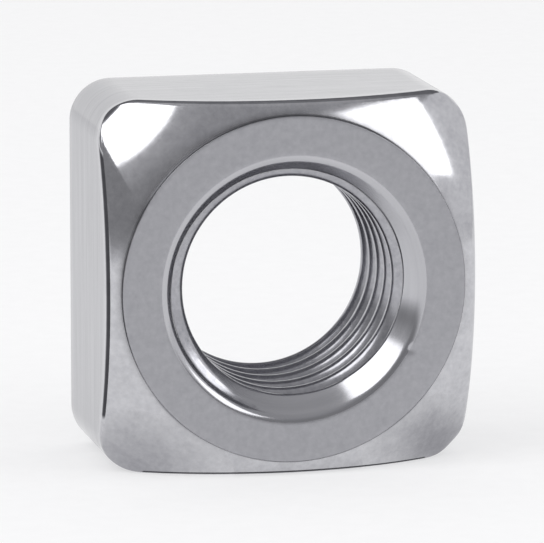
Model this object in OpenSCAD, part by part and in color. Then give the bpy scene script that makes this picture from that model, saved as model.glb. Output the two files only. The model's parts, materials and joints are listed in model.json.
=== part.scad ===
// Square nut, cold formed in one piece: a square block with rounded corners, a domed crown chamfer round a
// raised flat ring on its front, a plain bearing face behind, and a tapped hole with a countersink at each end.
// The nut stands on one of its four flats. The thread axis runs along Y, with the crowned front towards -Y
// and the bearing face towards +Y, and the origin is the middle of the thread.

/* [Block] */
// Width across flats
across_flats = 24; // [20:0.1:30]
// Thickness from the ring on the front to the bearing face
thickness = 13; // [8:0.1:20]
// Radius of the four long corners
corner_radius = 2.7; // [1:0.1:5]
// Radius of the rolled edge round the bearing face
bearing_edge_radius = 0.5; // [0.2:0.1:0.9]

/* [Crown] */
// Outer diameter of the flat ring on the front
ring_diameter = 22.2; // [19:0.1:24]
// Height that the ring stands above the start of the crown chamfer
ring_height = 0.15; // [0.05:0.05:0.6]
// Radius of the ring's rim
ring_edge_radius = 0.1; // [0.05:0.05:0.15]
// Slope of the crown chamfer where it leaves the ring, in degrees
crown_start_angle = 26; // [15:1:35]
// Radius of the crown chamfer's dome, from the ring out to the corners
crown_dome_radius = 18; // [14:1:60]
// Radius that rolls the crown chamfer over at the tips of the four corners
crown_tip_radius = 1.5; // [0.5:0.1:2.5]

/* [Tapped hole] */
// Nominal diameter of the thread
thread_diameter = 16; // [10:0.5:18]
// Pitch of the thread
thread_pitch = 2; // [1:0.25:2.5]
// Diameter of the countersink at each face
countersink_diameter = 16.8; // [16.2:0.1:18.5]
// Included angle of each countersink, in degrees
countersink_angle = 90; // [60:5:120]
// Radius that breaks the edge of each countersink
countersink_edge_radius = 0.65; // [0.1:0.05:0.8]

/* [Hidden] */
// A metric internal thread is truncated by this many pitches across its minor diameter
MINOR_TRUNCATION = 1.0825;
// Cutting and trimming shapes run this far past the faces that they cut
OVERRUN = 1;
// The crown's outer limit stays this far outside the corners
TIP_MARGIN = 0.05;

minor_diameter = thread_diameter - MINOR_TRUNCATION * thread_pitch;
corner_offset = across_flats / 2 - corner_radius;
across_corners = 2 * (corner_offset * sqrt(2) + corner_radius);
countersink_slope = 90 - countersink_angle / 2;

$fn = 96;

// Half of the block's section, from its middle out to half_width, with the rolled edge at the bearing face.
// X is the distance from the middle and Y the depth behind the ring.
module half_section(half_width) {
    rolled_at = [half_width - bearing_edge_radius, thickness - bearing_edge_radius];
    square([half_width, rolled_at.y]);
    square([rolled_at.x, thickness]);
    translate(rolled_at) circle(bearing_edge_radius);
}

// The square block before its crown is cut: two crossed bars make the flats and four round posts the corners.
module block() {
    bar_length = 2 * corner_offset;
    for (turn = [0, 90])
        rotate([90, 0, turn])
            linear_extrude(height = bar_length, center = true) {
                half_section(across_flats / 2);
                mirror([1, 0]) half_section(across_flats / 2);
            }
    for (x = [-1, 1], y = [-1, 1])
        translate([x * corner_offset, y * corner_offset, 0])
            rotate_extrude() half_section(corner_radius);
}

// The turned envelope that the crown comes from: the raised ring, and the dome that clips the corners and rolls
// over at their tips.
module crown_envelope() {
    ring_r = ring_diameter / 2;
    outer_r = across_corners / 2 + TIP_MARGIN;
    end_depth = thickness + OVERRUN;
    dome_centre = [
        ring_r - crown_dome_radius * sin(crown_start_angle),
        ring_height + crown_dome_radius * cos(crown_start_angle)
    ];
    tip_reach = crown_dome_radius - crown_tip_radius;
    tip_x = outer_r - crown_tip_radius;
    tip_centre = [tip_x, dome_centre.y - sqrt(tip_reach ^ 2 - (tip_x - dome_centre.x) ^ 2)];
    tip_start_x = dome_centre.x + (tip_x - dome_centre.x) * crown_dome_radius / tip_reach;
    rotate_extrude() {
        square([ring_r - ring_edge_radius, end_depth]);
        translate([0, ring_edge_radius]) square([ring_r, end_depth - ring_edge_radius]);
        translate([ring_r - ring_edge_radius, ring_edge_radius]) circle(ring_edge_radius);
        intersection() {
            translate([0, ring_height]) square([tip_start_x, end_depth - ring_height]);
            translate(dome_centre) circle(crown_dome_radius);
        }
        translate(tip_centre) circle(crown_tip_radius);
        translate([0, tip_centre.y]) square([outer_r, end_depth - tip_centre.y]);
    }
}

// The mouth of the tapped hole at the face Z = 0: a cone down to the minor diameter, with its rim broken round.
module countersink() {
    sink_r = countersink_diameter / 2;
    minor_r = minor_diameter / 2;
    depth = (sink_r - minor_r) * tan(countersink_slope);
    rim_x = sink_r + countersink_edge_radius * tan(countersink_slope / 2);
    rim_end = [
        rim_x - countersink_edge_radius * sin(countersink_slope),
        countersink_edge_radius * (1 - cos(countersink_slope))
    ];
    rotate_extrude()
        difference() {
            polygon([[0, -OVERRUN], [rim_x, -OVERRUN], [rim_x, 0], rim_end, [minor_r, depth], [0, depth]]);
            translate([rim_x, countersink_edge_radius]) circle(countersink_edge_radius);
        }
}

// The tapped hole at its minor diameter, which is the wall that the thread's crests stand on.
module tapped_hole() {
    translate([0, 0, -OVERRUN]) cylinder(d = minor_diameter, h = thickness + 2 * OVERRUN);
    countersink();
    translate([0, 0, thickness]) mirror([0, 0, 1]) countersink();
}

module square_nut() {
    color("silver")
        translate([0, -thickness / 2, 0])
            rotate([-90, 0, 0])
                difference() {
                    intersection() {
                        block();
                        crown_envelope();
                    }
                    tapped_hole();
                }
}

square_nut();
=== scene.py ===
import cmath
import json
import math

import bpy
from mathutils import Matrix, Vector, noise


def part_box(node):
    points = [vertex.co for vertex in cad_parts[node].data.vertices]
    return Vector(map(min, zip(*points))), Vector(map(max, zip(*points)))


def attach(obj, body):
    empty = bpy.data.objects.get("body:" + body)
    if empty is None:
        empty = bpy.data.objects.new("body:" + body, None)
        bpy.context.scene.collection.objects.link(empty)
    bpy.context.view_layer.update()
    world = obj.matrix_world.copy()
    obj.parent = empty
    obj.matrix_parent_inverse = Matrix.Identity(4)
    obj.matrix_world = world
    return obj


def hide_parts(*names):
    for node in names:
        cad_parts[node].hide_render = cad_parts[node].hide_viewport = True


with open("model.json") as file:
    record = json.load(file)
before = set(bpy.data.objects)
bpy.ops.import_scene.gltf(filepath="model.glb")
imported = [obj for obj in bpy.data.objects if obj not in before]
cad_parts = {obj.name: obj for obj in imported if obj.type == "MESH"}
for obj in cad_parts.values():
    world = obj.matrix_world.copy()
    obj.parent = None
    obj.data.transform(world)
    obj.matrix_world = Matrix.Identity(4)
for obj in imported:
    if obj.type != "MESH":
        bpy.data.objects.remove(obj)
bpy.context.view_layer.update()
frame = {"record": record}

# The nut: a square block of stainless steel, cold formed with rounded corners and a domed crown round
# a raised ring, then tapped right-hand with a countersink at each end, and tumbled. One closed skin runs
# on columns round the thread axis: over the front, the flats and the bearing face, and back by the thread.
MM = 0.001
tapping = next(mount for mount in frame["record"]["mounts"] if mount["name"] == "thread")
low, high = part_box("square_nut")
half_width = high.x / MM
front_y = low.y / MM
back_y = high.y / MM
thickness = back_y - front_y
corner_radius = 2.7
bearing_edge_radius = 0.5
flat_edge_radius = 0.65

ring_radius = 11.1
ring_height = 0.15
ring_edge_radius = 0.08
ring_foot_radius = 0.2
dome_start_slope = math.radians(26)
dome_radius = 18
tip_radius = 1.5
tip_margin = 0.05

pitch = 2
minor_radius = tapping["dims"]["r_mm"]
major_radius = 8.05
crest_flat = pitch / 4
flank_slope = math.radians(60)
crest_rounding = 0.35
sink_radius = 8.4
sink_slope = math.radians(45)
sink_rounding = 0.1
sink_edge_radius = 0.9
turned_from = sink_slope / 3

# The mesh: columns along a flat and round a corner, rows of a column from front to back, rows of a pitch
flat_steps = 56
corner_steps = 40
sink_edge_rows = 8
ring_rows = 12
ring_edge_rows = 4
ring_foot_rows = 4
crown_rows = 24
flat_edge_rows = 6
flat_rows = 12
bearing_edge_rows = 7
bearing_rows = 12
rows_per_pitch = 20

# The crown's rows lie at shares of its width: two close to the ring, the rest crowded towards the flat
crown_first_shares = [0.01, 0.03]
crown_next_share = 0.06
crown_gather = 1.4

# Centres of the corners and of the crown's two arcs, as distance from the axis and depth behind the ring,
# and the distance at which the second arc starts
corner_offset = half_width - corner_radius
tip_reach = corner_offset * math.sqrt(2) + corner_radius + tip_margin - tip_radius
dome_x = ring_radius - dome_radius * math.sin(dome_start_slope)
dome_y = ring_height + dome_radius * math.cos(dome_start_slope)
tip_y = dome_y - math.sqrt((dome_radius - tip_radius) ** 2 - (tip_reach - dome_x) ** 2)
tip_start = dome_x + (tip_reach - dome_x) * dome_radius / (dome_radius - tip_radius)


def crown(radius):
    """Depth behind the ring, and slope, of the domed crown at this distance from the axis."""
    if radius < tip_start:
        slope = math.asin((radius - dome_x) / dome_radius)
        return dome_y - dome_radius * math.cos(slope), slope
    slope = math.asin((radius - tip_reach) / tip_radius)
    return tip_y - tip_radius * math.cos(slope), slope


def steps(first, last, count, gather=1.0):
    """Evenly spread values from first to last; gather above 1 crowds them towards the last."""
    return [last + (first - last) * (1 - step / count) ** gather for step in range(count + 1)]


# Points round the square outline, with their outward normals: x and z are the parts of a complex number
outline = []
for side in range(4):
    turn = 1j ** side
    for step in range(flat_steps):
        along = corner_offset * (2 * step / flat_steps - 1)
        outline.append((turn * complex(half_width, along), turn))
    for step in range(corner_steps):
        normal = cmath.rect(1, math.pi / 2 * step / corner_steps)
        point = complex(corner_offset, corner_offset) + corner_radius * normal
        outline.append((turn * point, turn * normal))
column_count = len(outline)


def outer_column(point, normal):
    """A column of the skin from the front countersink over a flat to the back one: point, depth, finish."""
    outwards = point / abs(point)
    sink_edge_x = sink_radius + sink_edge_radius * math.tan(sink_slope / 2)
    sink_edge = []
    for angle in steps(sink_slope, 0, sink_edge_rows):
        radius = sink_edge_x - sink_edge_radius * math.sin(angle)
        finish = "turned" if angle > turned_from else "pressed"
        sink_edge.append((outwards * radius, sink_edge_radius * (1 - math.cos(angle)), finish))
    column = list(sink_edge)
    for radius in steps(sink_edge_x, ring_radius - ring_edge_radius, ring_rows)[1:]:
        column.append((outwards * radius, 0, "pressed"))
    for angle in steps(0, math.pi / 2, ring_edge_rows)[1:]:
        radius = ring_radius - ring_edge_radius * (1 - math.sin(angle))
        column.append((outwards * radius, ring_edge_radius * (1 - math.cos(angle)), "pressed"))
    foot_turn = math.pi / 2 - dome_start_slope
    foot_reach = ring_foot_radius * math.tan(foot_turn / 2)
    # The fillet at the ring's foot takes the painted crease shade
    for angle in steps(0, foot_turn, ring_foot_rows):
        radius = ring_radius + ring_foot_radius * (1 - math.cos(angle))
        depth = ring_height - foot_reach + ring_foot_radius * math.sin(angle)
        column.append((outwards * radius, depth, "painted_crease_shade"))

    edge_depth, edge_slope = crown(abs(point))
    lean = math.atan(math.tan(edge_slope) * (outwards * normal.conjugate()).real)
    edge_reach = flat_edge_radius * math.tan((math.pi / 2 - lean) / 2)
    inner = outwards * (ring_radius + ring_foot_radius * (1 - math.cos(foot_turn)))
    outer = point - normal * flat_edge_radius * (1 - math.sin(lean))
    for share in crown_first_shares + steps(crown_next_share, 1, crown_rows, crown_gather):
        place = inner + (outer - inner) * share
        column.append((place, crown(abs(place))[0], "tumbled"))
    for angle in steps(lean, math.pi / 2, flat_edge_rows)[1:]:
        place = point - normal * flat_edge_radius * (1 - math.sin(angle))
        column.append((place, edge_depth + edge_reach - flat_edge_radius * math.cos(angle), "tumbled"))

    rolled_depth = thickness - bearing_edge_radius
    for depth in steps(edge_depth + edge_reach, rolled_depth, flat_rows)[1:]:
        column.append((point, depth, "streaked"))
    for angle in steps(0, math.pi / 2, bearing_edge_rows)[1:]:
        place = point - normal * bearing_edge_radius * (1 - math.cos(angle))
        column.append((place, rolled_depth + bearing_edge_radius * math.sin(angle), "tumbled"))
    inner = outwards * sink_edge_x
    outer = point - normal * bearing_edge_radius
    for share in steps(0, 1, bearing_rows)[1:-1]:
        column.append((outer + (inner - outer) * share, thickness, "pressed"))
    for place, depth, finish in reversed(sink_edge):
        column.append((place, thickness - depth, finish))
    return column


def soft_max(a, b, width):
    """The larger of two values, with the corner between them rounded over this width."""
    overlap = max(width - abs(a - b), 0) / width
    return max(a, b) + overlap ** 2 * width / 4


def thread_radius(from_crest):
    """Radius of the thread at this distance along the axis from a crest's middle."""
    off_crest = abs((from_crest / pitch + 0.5) % 1 - 0.5) * pitch
    flank = minor_radius + (off_crest - crest_flat / 2) * math.tan(flank_slope)
    return -soft_max(-soft_max(minor_radius, flank, crest_rounding), -major_radius, crest_rounding)


vertices = []
finishes = []


def add_vertex(place, depth, finish):
    """Puts a point of the skin into the mesh and gives its index."""
    vertices.append(Vector((place.real, front_y + depth, place.imag)))
    finishes.append(finish)
    return len(vertices) - 1


skin = []
for point, normal in outline:
    skin.append([add_vertex(*stop) for stop in outer_column(point, normal)])

# Each row of the thread follows its helix, so past the last column it goes on as the row one pitch before.
# Rows that run out at either end, or nearly, are drawn in to the countersink's rim.
crest_angle = math.radians(-45)
crest_depth = 9
spare_turns = 2
least_row_share = 0.3
sink_start = sink_edge_radius * (1 - math.cos(sink_slope))
row_count = math.ceil((thickness / pitch + spare_turns) * rows_per_pitch)
least_gap = least_row_share * pitch / rows_per_pitch
first_row = crest_depth - math.ceil(crest_depth / pitch) * pitch
start_angle = cmath.phase(outline[0][0])
thread = []
for index, (point, _) in enumerate(outline):
    angle = start_angle + (cmath.phase(point) - start_angle) % math.tau
    climb = -pitch * (angle - crest_angle) / math.tau
    column = []
    for row in range(row_count):
        from_crest = row * pitch / rows_per_pitch
        depth = first_row + from_crest + climb
        if depth < sink_start + least_gap:
            column.append(skin[index][0])
        elif depth > thickness - sink_start - least_gap:
            column.append(skin[index][-1])
        else:
            cut = thread_radius(from_crest)
            cone = sink_radius - min(depth, thickness - depth) / math.tan(sink_slope)
            radius = soft_max(cut, cone, sink_rounding)
            finish = "tapped" if cut > cone else "turned"
            column.append(add_vertex(point / abs(point) * radius, depth, finish))
    thread.append(column)

faces = []


def add_face(*corners):
    """A face between neighbouring columns, with corners that meet at a countersink's rim taken once."""
    kept = [corner for place, corner in enumerate(corners) if corner != corners[place - 1]]
    if len(set(kept)) > 2:
        faces.append(kept)


for index in range(column_count):
    here = skin[index]
    there = skin[(index + 1) % column_count]
    for row in range(len(here) - 1):
        add_face(here[row], here[row + 1], there[row + 1], there[row])
    here = thread[index]
    there = thread[(index + 1) % column_count]
    shift = 0 if index + 1 < column_count else rows_per_pitch
    for row in range(shift, row_count - 1):
        add_face(here[row], there[row - shift], there[row - shift + 1], here[row + 1])

nut_mesh = bpy.data.meshes.new("square_nut_skin")
nut_mesh.from_pydata([vertex * MM for vertex in vertices], [], faces)
nut_mesh.update()

# Cold forming and tumbling leave the faces uneven by up to a hundredth of a millimetre, always inwards, and
# a knock has left a small nick in the rim of the front countersink, low on the right
wave_length = 4.5
wave_depth = 0.01
nick_centre = Vector((7.6, front_y, -4.2)) * MM
nick_radius = 0.4
nick_depth = 0.07
for vertex, out in zip(nut_mesh.vertices, [Vector(item.vector) for item in nut_mesh.vertex_normals]):
    swell = 0.5 + 0.5 * noise.noise(vertex.co / (wave_length * MM))
    from_nick = (vertex.co - nick_centre).length / (nick_radius * MM)
    dip = max(1 - from_nick ** 2, 0) ** 2
    vertex.co -= out * wave_depth * MM * swell
    vertex.co.y += nick_depth * MM * dip
nut_mesh.shade_smooth()

# Shade is painted into the crease at the ring's foot as a dark tone. It is heavier on one side of the ring
# and thins out over the start of the crown
crease_shade_angle = math.radians(118)
crease_shade_least = 0.05
crease_shade_reach = 0.6
for finish in ("pressed", "painted_crease_shade", "streaked", "turned", "tapped"):
    layer = nut_mesh.attributes.new(finish, "FLOAT", "POINT")
    shares = [float(found == finish) for found in finishes]
    if finish == "painted_crease_shade":
        for index, vertex in enumerate(vertices):
            if finishes[index] == "tumbled" and vertex.y < 0:
                off_ring = math.hypot(vertex.x, vertex.z) - ring_radius
                shares[index] = max(1 - off_ring / crease_shade_reach, 0) ** 2
            side = 0.5 + 0.5 * math.cos(math.atan2(vertex.z, vertex.x) - crease_shade_angle)
            shares[index] *= crease_shade_least + (1 - crease_shade_least) * side ** 2
    layer.data.foreach_set("value", shares)

nut = bpy.data.objects.new("nut", nut_mesh)
bpy.context.scene.collection.objects.link(nut)


def linear(hex_colour):
    """An sRGB hex colour as linear red, green, blue and alpha."""
    channels = [int(hex_colour[place:place + 2], 16) / 255 for place in (1, 3, 5)]
    return [c / 12.92 if c <= 0.04045 else ((c + 0.055) / 1.055) ** 2.4 for c in channels] + [1]


def add_node(tree, kind, settings, links):
    """Adds a node to the tree, sets its properties and inputs, and links other nodes' outputs to it."""
    node = tree.nodes.new(kind)
    for name, value in settings.items():
        if isinstance(name, str) and hasattr(node, name):
            setattr(node, name, value)
        else:
            node.inputs[name].default_value = value
    for name, output in links.items():
        tree.links.new(output, node.inputs[name])
    return node


# Austenitic stainless steel, formed cold and then tumbled: the crown and the edges mirror the studio under
# a fine dapple, the pressed ring and bearing face are satin and a little darker, fine streaks run round the
# flats, the crease at the ring's foot has shade painted into it as a dark tone, and the turned countersink
# is brighter than the thread.
# The mottle is as wide as the marks of tumbling chips. The dapple and the streaks are drawn coarser than
# real ones, which are too fine to show.
mottle_size = 1.4
dapple_size = 0.4
streak_width = 0.4
streak_length = 12
dapple_share = 0.5
steel = bpy.data.materials.new("tumbled_stainless_steel")
steel.use_nodes = True
tree = steel.node_tree
shader = tree.nodes["Principled BSDF"]
shader.inputs["Metallic"].default_value = 1
place = add_node(tree, "ShaderNodeTexCoord", {}, {}).outputs["Object"]
mottle = add_node(
    tree, "ShaderNodeTexNoise",
    {"Scale": 1 / (mottle_size * MM), "Detail": 5, "Roughness": 0.6}, {"Vector": place},
).outputs["Fac"]
dapple = add_node(
    tree, "ShaderNodeTexNoise",
    {"Scale": 1 / (dapple_size * MM), "Detail": 3, "Roughness": 0.65}, {"Vector": place},
).outputs["Fac"]
stretch = [1 / (size * MM) for size in (streak_length, streak_width, streak_length)]
streak_place = add_node(
    tree, "ShaderNodeVectorMath", {"operation": "MULTIPLY", 1: stretch}, {0: place}
).outputs["Vector"]
streaks = add_node(
    tree, "ShaderNodeTexNoise", {"Scale": 1, "Detail": 2, "Roughness": 0.6}, {"Vector": streak_place}
).outputs["Fac"]
grain = add_node(
    tree, "ShaderNodeMix", {"data_type": "FLOAT", 0: dapple_share}, {2: mottle, 3: dapple}
).outputs[0]

colour = None
roughness = None
for finish, dark, pale, pattern, smooth, rough in (
    ("tumbled", "#A0A0A5", "#E2E2E5", grain, 0.05, 0.13),
    ("pressed", "#9C9CA1", "#B7B7BB", dapple, 0.34, 0.42),
    # Painted shade: the crease's dark tones
    ("painted_crease_shade", "#5A5A5D", "#707074", dapple, 0.4, 0.5),
    ("streaked", "#929297", "#BABABE", streaks, 0.08, 0.2),
    ("turned", "#AEAEB2", "#C8C8CC", streaks, 0.13, 0.19),
    ("tapped", "#94949A", "#C2C2C6", dapple, 0.14, 0.26),
):
    own_colour = add_node(
        tree, "ShaderNodeMix", {"data_type": "RGBA", 6: linear(dark), 7: linear(pale)}, {0: pattern}
    ).outputs[2]
    own_roughness = add_node(
        tree, "ShaderNodeMapRange", {"To Min": smooth, "To Max": rough}, {"Value": mottle}
    ).outputs[0]
    if colour is None:
        colour = own_colour
        roughness = own_roughness
        continue
    share = add_node(tree, "ShaderNodeAttribute", {"attribute_name": finish}, {}).outputs["Fac"]
    colour = add_node(
        tree, "ShaderNodeMix", {"data_type": "RGBA"}, {0: share, 6: colour, 7: own_colour}
    ).outputs[2]
    roughness = add_node(
        tree, "ShaderNodeMix", {"data_type": "FLOAT"}, {0: share, 2: roughness, 3: own_roughness}
    ).outputs[0]
tree.links.new(colour, shader.inputs["Base Color"])
tree.links.new(roughness, shader.inputs["Roughness"])

relief = None
for height, strength, depth in ((mottle, 0.08, 0.02), (streaks, 0.1, 0.01), (dapple, 0.05, 0.01)):
    below = {} if relief is None else {"Normal": relief}
    relief = add_node(
        tree, "ShaderNodeBump", {"Strength": strength, "Distance": depth * MM}, {"Height": height, **below}
    ).outputs["Normal"]
tree.links.new(relief, shader.inputs["Normal"])
nut_mesh.materials.append(steel)
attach(nut, "root")
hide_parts("square_nut")

# The table: a wide sheet of matt white board that the nut stands on, with its soft shadow. The board has
# a faint tooth, drawn far coarser than real paper so that it shows at all. Part of its white is a glow that
# shows to the camera and in the nut, and lights nothing.
floor_size = 6
tooth_size = 1.5
board_roughness = 0.9
board_glow = 0.6


def seen_rays(tree):
    """1 for a ray from the camera, from a mirroring surface or through glass, and 0 for one that lights."""
    rays = add_node(tree, "ShaderNodeLightPath", {}, {}).outputs
    seen = rays["Is Camera Ray"]
    for kind in ("Is Glossy Ray", "Is Transmission Ray"):
        seen = add_node(tree, "ShaderNodeMath", {"operation": "ADD"}, {0: seen, 1: rays[kind]}).outputs[0]
    return seen


floor_mesh = bpy.data.meshes.new("table_board")
board_corners = []
for x, y in ((-1, -1), (1, -1), (1, 1), (-1, 1)):
    board_corners.append((x * floor_size / 2, y * floor_size / 2, low.z))
floor_mesh.from_pydata(board_corners, [], [(0, 1, 2, 3)])
board = bpy.data.materials.new("matt_white_board")
board.use_nodes = True
tree = board.node_tree
shader = tree.nodes["Principled BSDF"]
shader.inputs["Roughness"].default_value = board_roughness
place = add_node(tree, "ShaderNodeTexCoord", {}, {}).outputs["Object"]
tooth = add_node(
    tree, "ShaderNodeTexNoise", {"Scale": 1 / (tooth_size * MM), "Detail": 2}, {"Vector": place}
).outputs["Fac"]
white = add_node(
    tree, "ShaderNodeMix", {"data_type": "RGBA", 6: linear("#F6F6F7"), 7: linear("#FAFAFB")}, {0: tooth}
).outputs[2]
tree.links.new(white, shader.inputs["Base Color"])
glow_share = add_node(
    tree, "ShaderNodeMapRange", {"To Max": board_glow}, {"Value": seen_rays(tree)}
).outputs[0]
glow = add_node(tree, "ShaderNodeEmission", {}, {"Color": white}).outputs[0]
surface = add_node(
    tree, "ShaderNodeMixShader", {}, {0: glow_share, 1: shader.outputs[0], 2: glow}
).outputs[0]
tree.links.new(surface, tree.nodes["Material Output"].inputs["Surface"])
floor_mesh.materials.append(board)
table = bpy.data.objects.new("table", floor_mesh)
bpy.context.scene.collection.objects.link(table)

# The lamps: two softboxes in front of the nut, an oval one high on the left and a wide one on the right.
# Both are white panels that are equally bright all over.
softbox_distance = 0.5
softbox_level = 1.9


def aim(thing, azimuth, elevation, distance, roll=0):
    """Puts a lamp or camera this far from the nut in this direction, in degrees, facing the nut."""
    across = math.radians(azimuth)
    upwards = math.radians(elevation)
    outwards = Vector((
        math.sin(across) * math.cos(upwards),
        -math.cos(across) * math.cos(upwards),
        math.sin(upwards),
    ))
    bpy.context.scene.collection.objects.link(thing)
    thing.location = outwards * distance
    turned = outwards.to_track_quat("Z", "Y").to_matrix()
    thing.rotation_euler = (turned @ Matrix.Rotation(math.radians(roll), 3, "Z")).to_euler()


for name, shape, fill, azimuth, elevation, roll, width, height in (
    ("left_softbox", "ELLIPSE", math.pi / 4, -67.7, 45.7, -3, 0.41, 0.38),
    ("right_softbox", "RECTANGLE", 1, 52.5, 29, -5, 0.32, 0.205),
):
    lamp = bpy.data.lights.new(name, "AREA")
    lamp.shape = shape
    lamp.size = width
    lamp.size_y = height
    lamp.energy = softbox_level * math.pi * width * height * fill
    softbox = bpy.data.objects.new(name, lamp)
    aim(softbox, azimuth, elevation, softbox_distance, roll)
    softbox.visible_camera = False

# The screens: grey cards that show only in the nut's reflections. Tall ones and a ceiling close in the
# studio, and narrow flags stand close to the crown's left edge and the upper left corner. A dark strip at
# the crown's foot and two round cards that darken to their middles, lying on the table at the lower
# corners, are painted contact shadow.
screen_radius = 0.8
screen_top = 0.9
rear_screen_foot = 0.4
low_screen_radius = 0.78
low_screen_top = 0.25
ceiling_radius = 0.9
ceiling_z = 0.55
screen_steps = 24

# Light from the left softbox tints the screens near it: fully within the second angle, not past the first
spill_from = math.cos(math.radians(36))
spill_to = math.cos(math.radians(25))
spill_centre = bpy.data.objects["left_softbox"].location.normalized()

# Flags, the painted contact shadow and its round cards in millimetres: gaps off the flats, reaches in front
# of and behind the crown's edge, the corner flag's lower and upper sides by the y and z of their ends, and
# the cards' middles by x and y
edge_flag_gap = 1.1
edge_flag_front = -0.55
edge_flag_back = 2.4
painted_contact_shadow_gap = -0.03
painted_contact_shadow_front = -0.1
painted_contact_shadow_back = 0.12
corner_flag_gap = 1.3
corner_flag_x = -half_width - corner_flag_gap
corner_flag_foot = ((-9.2, 5.5), (-4, 6.5))
corner_flag_head = ((-9.2, 8.1), (-4, 10.95))
left_tip = (-9.6, -3)
right_tip = (10.8, -3.2)
tip_shadow_card_radius = 6.5
tip_shadow_card_lift = 0.02


def arc(first, last, radius, z):
    """Points on a level arc round the nut, from the first azimuth to the last, in degrees."""
    points = []
    for step in range(screen_steps + 1):
        turn = math.radians(first + (last - first) * step / screen_steps)
        points.append((radius * math.sin(turn), -radius * math.cos(turn), z))
    return points


def along_edge(turn, gap, behind):
    """Points along the crown's edge on one side of the nut, this far off its flat and behind the edge."""
    points = []
    for along in steps(-corner_offset, corner_offset, screen_steps):
        place = turn * complex(half_width + gap, along)
        depth = crown(math.hypot(half_width, along))[0]
        points.append((place.real * MM, (front_y + depth + behind) * MM, place.imag * MM))
    return points


def ring_on_table(middle, radius):
    """Points on a ring that lies on the table round this middle, in millimetres."""
    level = low.z + tip_shadow_card_lift * MM
    return [(middle[0] * MM + x, middle[1] * MM + y, z) for x, y, z in arc(0, 360, radius * MM, level)]


def corner_flag_side(ends):
    """Points of one side of the corner flag, from the y and z of its ends."""
    return [(corner_flag_x * MM, y * MM, z * MM) for y, z in ends]


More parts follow.
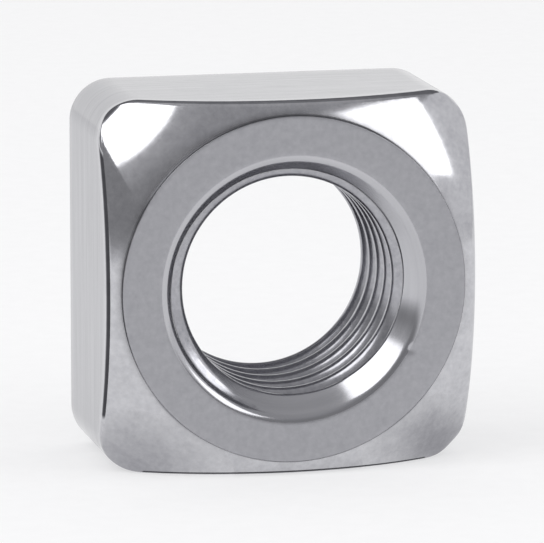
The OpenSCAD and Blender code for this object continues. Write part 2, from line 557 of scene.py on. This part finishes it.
# Each card runs from a foot to a head. Its tone goes from the foot's colour to its own over the fade,
# a share of the way
for name, foot, head, foot_colour, colour, fade, spill_colour in (
    (
        "front_screen", arc(-115, 64, screen_radius, low.z), arc(-115, 64, screen_radius, screen_top),
        "#E0E0E2", "#98989A", 0.12, "#BABABC",
    ),
    (
        "right_screen", arc(64, 130, screen_radius, low.z), arc(64, 130, screen_radius, screen_top),
        "#E0E0E2", "#E8E8EA", 0.12, None,
    ),
    (
        "low_screen", arc(46, 64, low_screen_radius, low.z), arc(46, 64, low_screen_radius, low_screen_top),
        "#E0E0E2", "#E8E8EA", 0.12, None,
    ),
    (
        "rear_screen", arc(160, 248, screen_radius, rear_screen_foot),
        arc(160, 248, screen_radius, screen_top),
        "#6A6A6D", "#6A6A6D", 1, None,
    ),
    (
        "front_ceiling", arc(-90, 90, ceiling_radius, ceiling_z), arc(-90, 90, 0, ceiling_z),
        "#A0A0A3", "#B8B8BA", 1, "#BABABC",
    ),
    (
        "rear_ceiling", arc(90, 250, ceiling_radius, ceiling_z), arc(90, 250, 0, ceiling_z),
        "#6A6A6D", "#8A8A8D", 1, "#8A8A8D",
    ),
    (
        "edge_flag", along_edge(-1, edge_flag_gap, edge_flag_back),
        along_edge(-1, edge_flag_gap, edge_flag_front),
        "#F8F8F9", "#5C5C5F", 0.6, None,
    ),
    # Painted contact shadow: a dark strip on the table under the crown's front edge, seen only in the nut
    (
        "painted_contact_shadow", along_edge(-1j, painted_contact_shadow_gap, painted_contact_shadow_front),
        along_edge(-1j, painted_contact_shadow_gap, painted_contact_shadow_back),
        "#5C5C5F", "#5C5C5F", 1, None,
    ),
    # Painted contact shadow under the lower corners: round cards that darken to their middles, seen only in
    # the nut
    (
        "left_tip_shadow_card", ring_on_table(left_tip, tip_shadow_card_radius), ring_on_table(left_tip, 0),
        "#F0F0F1", "#C4C4C7", 1, None,
    ),
    (
        "right_tip_shadow_card", ring_on_table(right_tip, tip_shadow_card_radius), ring_on_table(right_tip, 0),
        "#F0F0F1", "#B8B8BB", 1, None,
    ),
    (
        "corner_flag", corner_flag_side(corner_flag_foot), corner_flag_side(corner_flag_head),
        "#98989A", "#98989A", 1, None,
    ),
):
    bays = [(bay, bay + 1, bay + 1 + len(foot), bay + len(foot)) for bay in range(len(foot) - 1)]
    card_mesh = bpy.data.meshes.new(name)
    card_mesh.from_pydata(foot + head, [], bays)
    rises = [0] * len(foot) + [1] * len(head)
    # The edge flag fades at its two ends as well
    if name == "edge_flag":
        rises[len(foot)] = 0
        rises[-1] = 0
    card_mesh.attributes.new("rise", "FLOAT", "POINT").data.foreach_set("value", rises)
    card = bpy.data.materials.new(name + "_card")
    card.use_nodes = True
    tree = card.node_tree
    tree.nodes.remove(tree.nodes["Principled BSDF"])
    rise = add_node(tree, "ShaderNodeAttribute", {"attribute_name": "rise"}, {}).outputs["Fac"]
    above_foot = add_node(
        tree, "ShaderNodeMapRange", {"From Max": fade, "interpolation_type": "SMOOTHSTEP"}, {"Value": rise}
    ).outputs[0]
    tone = add_node(
        tree, "ShaderNodeMix",
        {"data_type": "RGBA", 6: linear(foot_colour), 7: linear(colour)}, {0: above_foot},
    ).outputs[2]
    if spill_colour:
        place = add_node(tree, "ShaderNodeTexCoord", {}, {}).outputs["Object"]
        heading = add_node(
            tree, "ShaderNodeVectorMath", {"operation": "NORMALIZE"}, {0: place}
        ).outputs["Vector"]
        nearness = add_node(
            tree, "ShaderNodeVectorMath", {"operation": "DOT_PRODUCT", 1: spill_centre}, {0: heading}
        ).outputs["Value"]
        spill = add_node(
            tree, "ShaderNodeMapRange",
            {"From Min": spill_from, "From Max": spill_to, "interpolation_type": "SMOOTHSTEP"},
            {"Value": nearness},
        ).outputs[0]
        tone = add_node(
            tree, "ShaderNodeMix", {"data_type": "RGBA", 7: linear(spill_colour)}, {0: spill, 6: tone}
        ).outputs[2]
    glow = add_node(tree, "ShaderNodeEmission", {}, {"Color": tone}).outputs[0]
    tree.links.new(glow, tree.nodes["Material Output"].inputs["Surface"])
    card_mesh.materials.append(card)
    screen = bpy.data.objects.new(name, card_mesh)
    bpy.context.scene.collection.objects.link(screen)
    screen.visible_camera = False
    screen.visible_diffuse = False
    screen.visible_transmission = False
    screen.visible_shadow = False

# The tent: white cloth all round, which lights the nut softly and is also the pale background. It lights
# at a plain level and shows as white to the camera and in the nut.
tent_level = 0.82
world = bpy.data.worlds.new("white_tent")
bpy.context.scene.world = world
world.use_nodes = True
tree = world.node_tree
level = add_node(
    tree, "ShaderNodeMapRange", {"To Min": tent_level, "To Max": 1}, {"Value": seen_rays(tree)}
).outputs[0]
tree.nodes["Background"].inputs["Color"].default_value = (1, 1, 1, 1)
tree.links.new(level, tree.nodes["Background"].inputs["Strength"])
bpy.context.scene.view_settings.view_transform = "Standard"

# The camera: a long lens close above the table, a little to the left of the thread axis. It looks at the
# middle of the nut and takes in a frame this wide there.
camera_azimuth = -13
camera_elevation = 10.6
camera_distance = 0.369
frame_width = 0.0349
lens = bpy.data.cameras.new("camera")
lens.sensor_width = 36
lens.lens = lens.sensor_width * camera_distance / frame_width
camera = bpy.data.objects.new("camera", lens)
aim(camera, camera_azimuth, camera_elevation, camera_distance)
bpy.context.scene.camera = camera
